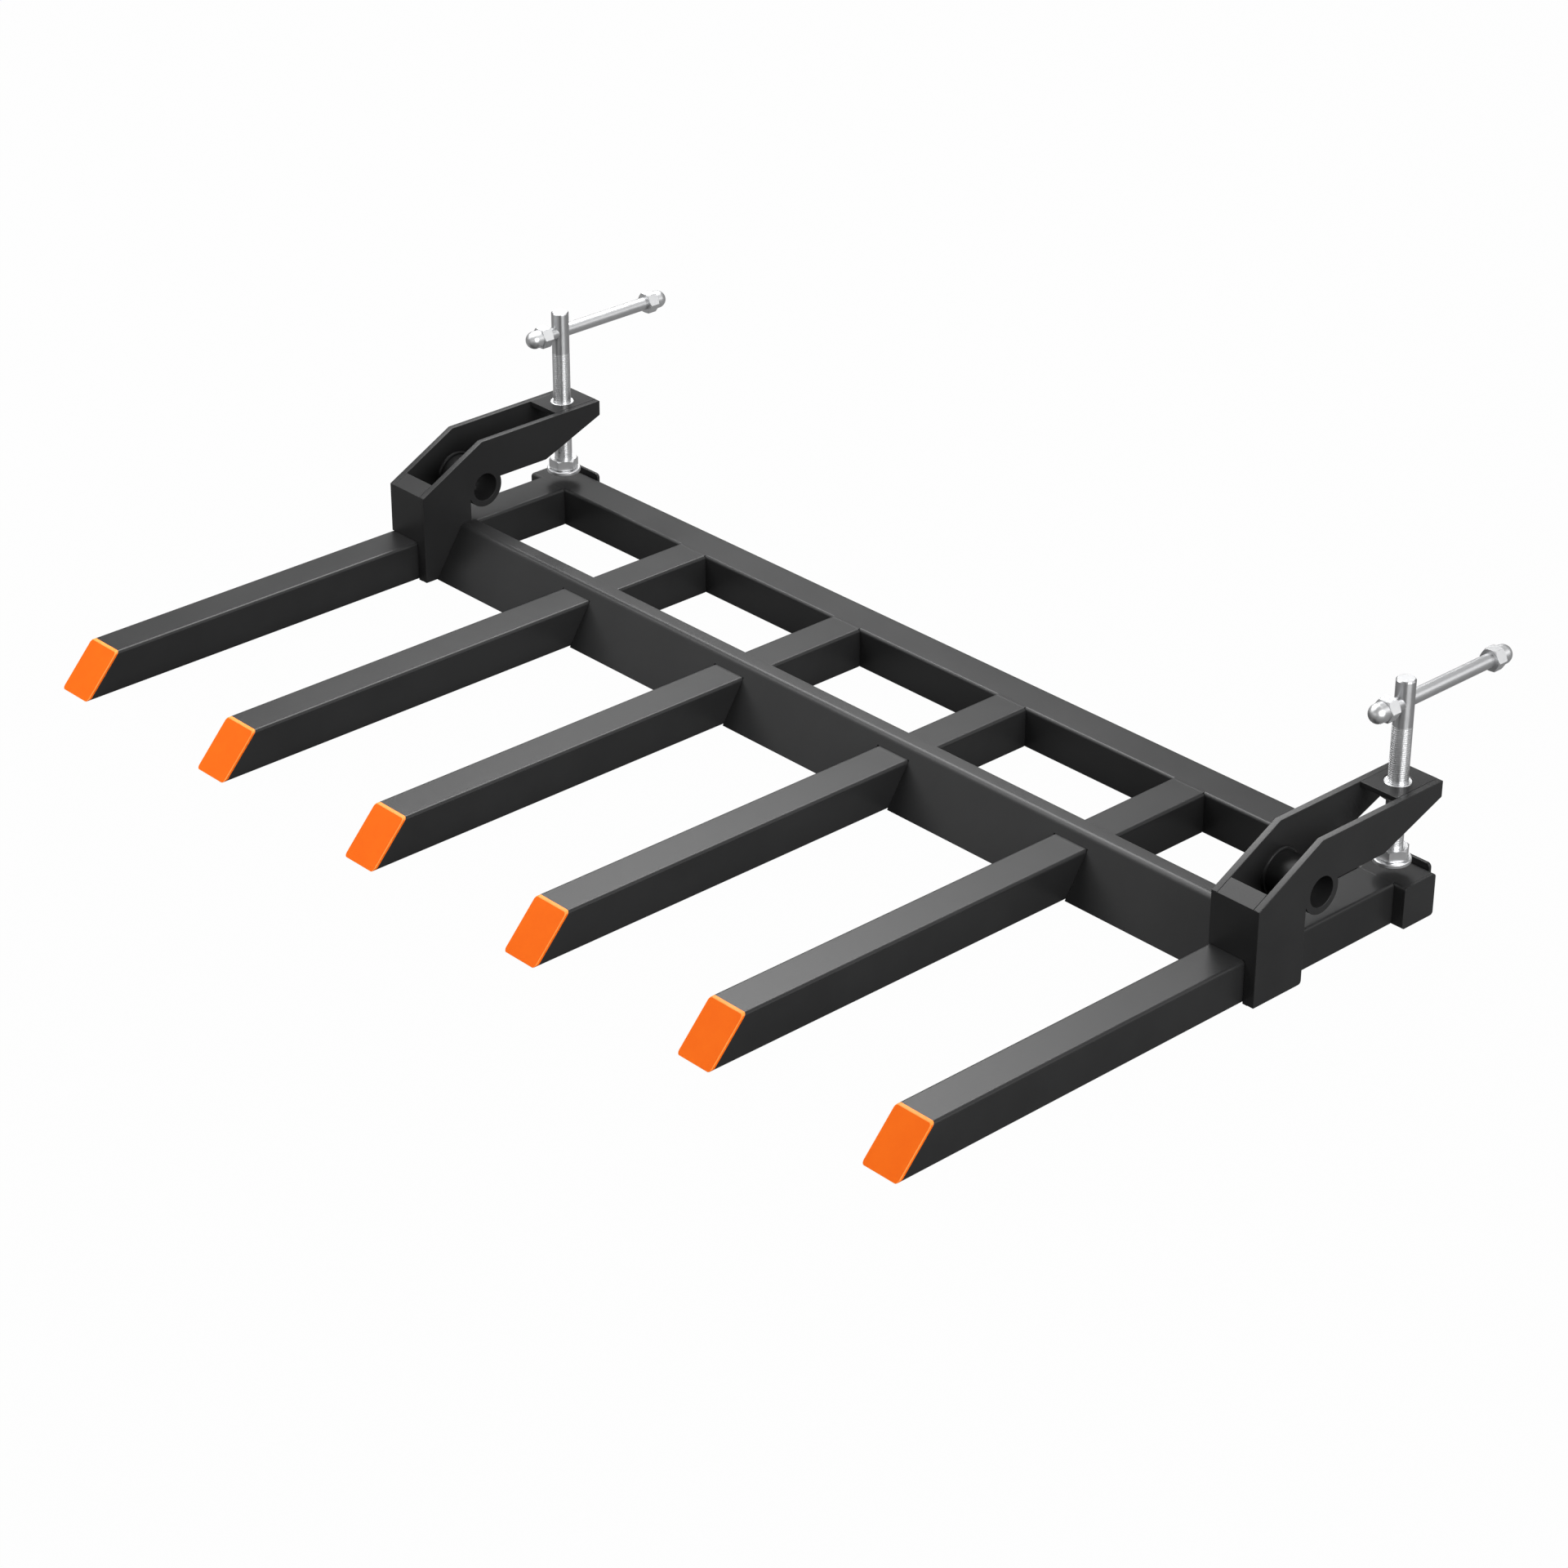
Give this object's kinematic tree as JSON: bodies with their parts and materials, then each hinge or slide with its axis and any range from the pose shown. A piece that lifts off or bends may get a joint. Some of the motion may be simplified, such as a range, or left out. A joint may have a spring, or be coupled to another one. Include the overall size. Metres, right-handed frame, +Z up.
{
  "type": "clamp-on debris fork",
  "caption": "Clamp-on debris fork for a loader bucket: a ladder of square tubes with long slant-cut tines, held by screw clamps with sliding bar handles at both ends.",
  "frame": {"origin": "middle of the rear rail's top face, where the bucket's lip lies", "axes": "+X along the rails to the right clamp, +Y to the rear, away from the tines, +Z up; the tines point to -Y"},
  "size_m": [1.43, 0.9068, 0.28],
  "materials": {
    "black_powder_coat": "semi-gloss",
    "orange_tip_paint": "satin",
    "bright_plated_steel": "bright plated"
  },
  "bodies": {
    "frame": {"rear_rail": "black_powder_coat", "rear_rail_cap_left": "black_powder_coat", "rear_rail_cap_right": "black_powder_coat", "front_rail": "black_powder_coat", "tine_tube_1": "black_powder_coat", "tine_tube_2": "black_powder_coat", "tine_tube_3": "black_powder_coat", "tine_tube_4": "black_powder_coat", "tine_tube_5": "black_powder_coat", "tine_tube_6": "black_powder_coat", "tine_tip_1": "orange_tip_paint", "tine_tip_2": "orange_tip_paint", "tine_tip_3": "orange_tip_paint", "tine_tip_4": "orange_tip_paint", "tine_tip_5": "orange_tip_paint", "tine_tip_6": "orange_tip_paint", "long_plate_left": "black_powder_coat", "short_plate_left": "black_powder_coat", "front_bar_left": "black_powder_coat", "cross_tube_left": "black_powder_coat", "top_plate_left": "black_powder_coat", "screw_nut_left": "bright_plated_steel", "rear_stop_left": "black_powder_coat", "long_plate_right": "black_powder_coat", "short_plate_right": "black_powder_coat", "front_bar_right": "black_powder_coat", "cross_tube_right": "black_powder_coat", "top_plate_right": "black_powder_coat", "screw_nut_right": "bright_plated_steel", "rear_stop_right": "black_powder_coat"},
    "left_pad": {"foot_pad_left": "bright_plated_steel"},
    "left_screw": {"clamp_screw_left": "bright_plated_steel", "foot_nut_left": "bright_plated_steel"},
    "left_handle": {"handle_bar_left": "bright_plated_steel", "front_dome_nut_left": "bright_plated_steel", "rear_dome_nut_left": "bright_plated_steel"},
    "right_pad": {"foot_pad_right": "bright_plated_steel"},
    "right_screw": {"clamp_screw_right": "bright_plated_steel", "foot_nut_right": "bright_plated_steel"},
    "right_handle": {"handle_bar_right": "bright_plated_steel", "front_dome_nut_right": "bright_plated_steel", "rear_dome_nut_right": "bright_plated_steel"}
  },
  "joints": [
    {"name": "left_screw_feed", "type": "slide", "parent": "frame", "child": "left_pad", "axis": [0, 0, 1], "range_m": [-0.0157, 0.0597]},
    {"name": "left_screw_turn", "type": "hinge", "parent": "left_pad", "child": "left_screw", "pos_m": [-0.6675, -0.0105, 0], "axis": [0, 0, 1], "range_deg": [-2258, 8590]},
    {"name": "left_handle_slide", "type": "slide", "parent": "left_screw", "child": "left_handle", "axis": [0, 1, 0], "range_m": [-0.1257, 0.0087]},
    {"name": "right_screw_feed", "type": "slide", "parent": "frame", "child": "right_pad", "axis": [0, 0, 1], "range_m": [-0.0157, 0.0597]},
    {"name": "right_screw_turn", "type": "hinge", "parent": "right_pad", "child": "right_screw", "pos_m": [0.6825, -0.0105, 0], "axis": [0, 0, 1], "range_deg": [-2258, 8590]},
    {"name": "right_handle_slide", "type": "slide", "parent": "right_screw", "child": "right_handle", "axis": [0, 1, 0], "range_m": [-0.1257, 0.0087]}
  ],
  "couplings": [
    {"joint": "left_screw_feed", "follows": "left_screw_turn", "m_per_rad": 0.00039789},
    {"joint": "right_screw_feed", "follows": "right_screw_turn", "m_per_rad": 0.00039789}
  ]
}
